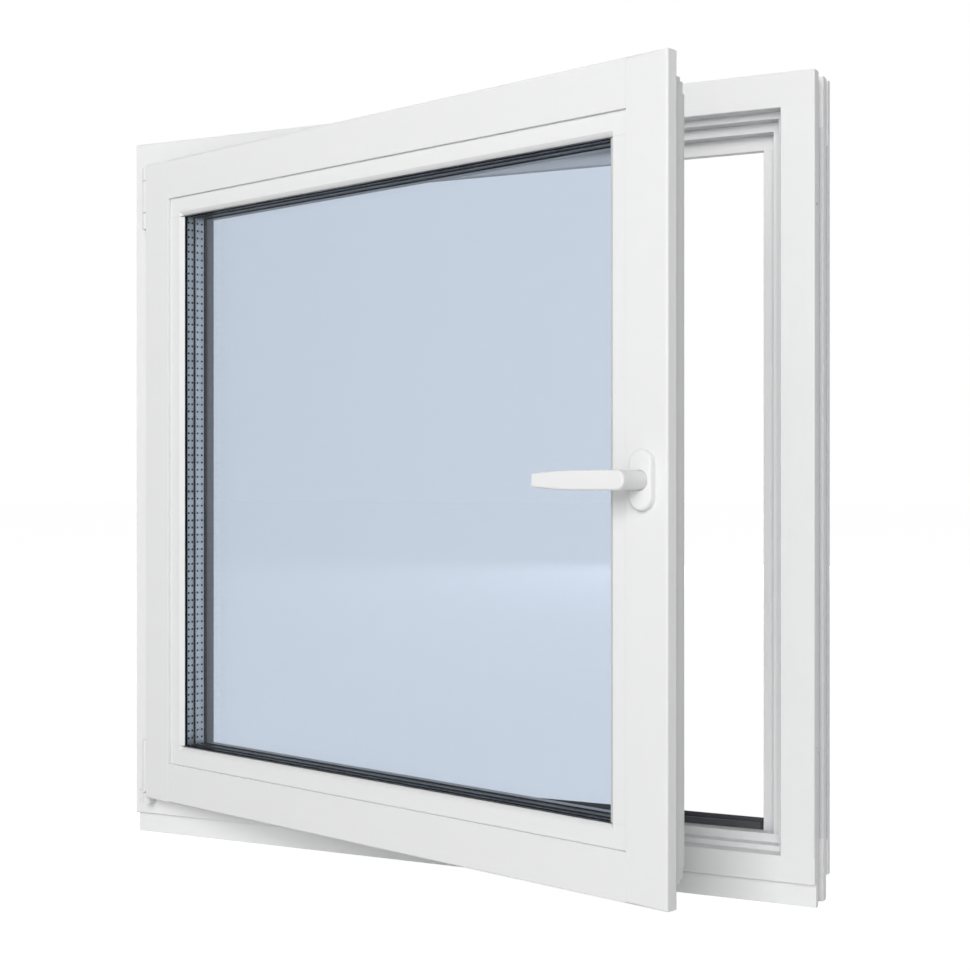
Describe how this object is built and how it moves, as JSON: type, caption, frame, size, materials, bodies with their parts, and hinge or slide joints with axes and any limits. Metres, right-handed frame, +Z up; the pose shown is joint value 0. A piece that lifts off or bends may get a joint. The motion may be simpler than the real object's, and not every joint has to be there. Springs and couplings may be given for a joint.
{
  "type": "tilt and turn window",
  "caption": "White timber tilt and turn window: a frame on a sill extension, an inward opening triple glazed sash, corner hinges and a lever handle.",
  "frame": {"origin": "underside of the sill extension's front foot, at the middle of its width", "axes": "+X to the right as seen from the room, +Y from the room to the outside, +Z up"},
  "size_m": [1, 0.4169, 0.998],
  "materials": {
    "painted_wood": "smooth white satin paint over timber",
    "dark_aluminium": "anthracite powder coat",
    "dark_plastic": "moulded anthracite",
    "seal_rubber": "matt dark grey seal",
    "edge_sealant": "matt black sealant",
    "spacer_metal": "mill finish with drying holes",
    "pane_glass": "clear float glass",
    "block_plastic": "moulded packer",
    "hardware_steel": "zinc plated",
    "white_cover": "white powder coat",
    "handle_white": "white powder coat, satin"
  },
  "bodies": {
    "frame": {"frame_head": "painted_wood", "frame_bottom_rail": "painted_wood", "frame_hinge_jamb": "painted_wood", "frame_lock_jamb": "painted_wood", "sill_extension": "painted_wood", "weather_bar": "dark_aluminium", "weather_bar_end_caps": "dark_plastic", "top_hinge_knuckles": "white_cover", "top_hinge_pin": "hardware_steel", "corner_bearing": "white_cover"},
    "pivot": {"pivot_post": "hardware_steel"},
    "sash": {"sash_hinge_stile": "painted_wood", "sash_lock_stile": "painted_wood", "sash_top_rail": "painted_wood", "sash_bottom_rail": "painted_wood", "glazing_bead_top": "painted_wood", "glazing_bead_bottom": "painted_wood", "glazing_bead_left": "painted_wood", "glazing_bead_right": "painted_wood", "inner_glass_gasket": "seal_rubber", "inner_pane": "pane_glass", "inner_spacer": "spacer_metal", "inner_edge_sealant": "edge_sealant", "middle_pane": "pane_glass", "outer_spacer": "spacer_metal", "outer_edge_sealant": "edge_sealant", "outer_pane": "pane_glass", "outer_glass_gasket": "seal_rubber", "glazing_blocks": "block_plastic", "sash_drip_strip": "dark_aluminium", "lock_faceplate": "hardware_steel", "top_faceplate": "hardware_steel", "bottom_faceplate": "hardware_steel", "sash_seal": "seal_rubber", "corner_hinge_cover": "white_cover", "tilt_bush": "hardware_steel", "handle_rosette": "handle_white"},
    "stay": {"stay_arm": "hardware_steel"},
    "handle": {"handle_lever": "handle_white", "handle_spindle": "hardware_steel"}
  },
  "joints": [
    {"name": "sash_turn", "type": "hinge", "parent": "frame", "child": "pivot", "pos_m": [-0.4695, -0.026, 0.071], "axis": [0, 0, -1], "range_deg": [-16.8, 73.2]},
    {"name": "sash_tilt", "type": "hinge", "parent": "pivot", "child": "sash", "pos_m": [-0.4695, -0.026, 0.071], "axis": [-0.9573, 0.289, 0], "range_deg": [-6.5, 0]},
    {"name": "stay_swing", "type": "hinge", "parent": "pivot", "child": "stay", "pos_m": [-0.4695, -0.026, 0.916], "axis": [0, 0, 1], "range_deg": [-16.17, 0]},
    {"name": "handle_turn", "type": "hinge", "parent": "sash", "child": "handle", "pos_m": [0.39092, -0.29518, 0.509], "axis": [-0.289, -0.9573, 0], "range_deg": [-90, 90]}
  ],
  "couplings": [
    {"joint": "stay_swing", "follows": "sash_tilt", "ratio": 2.487}
  ]
}
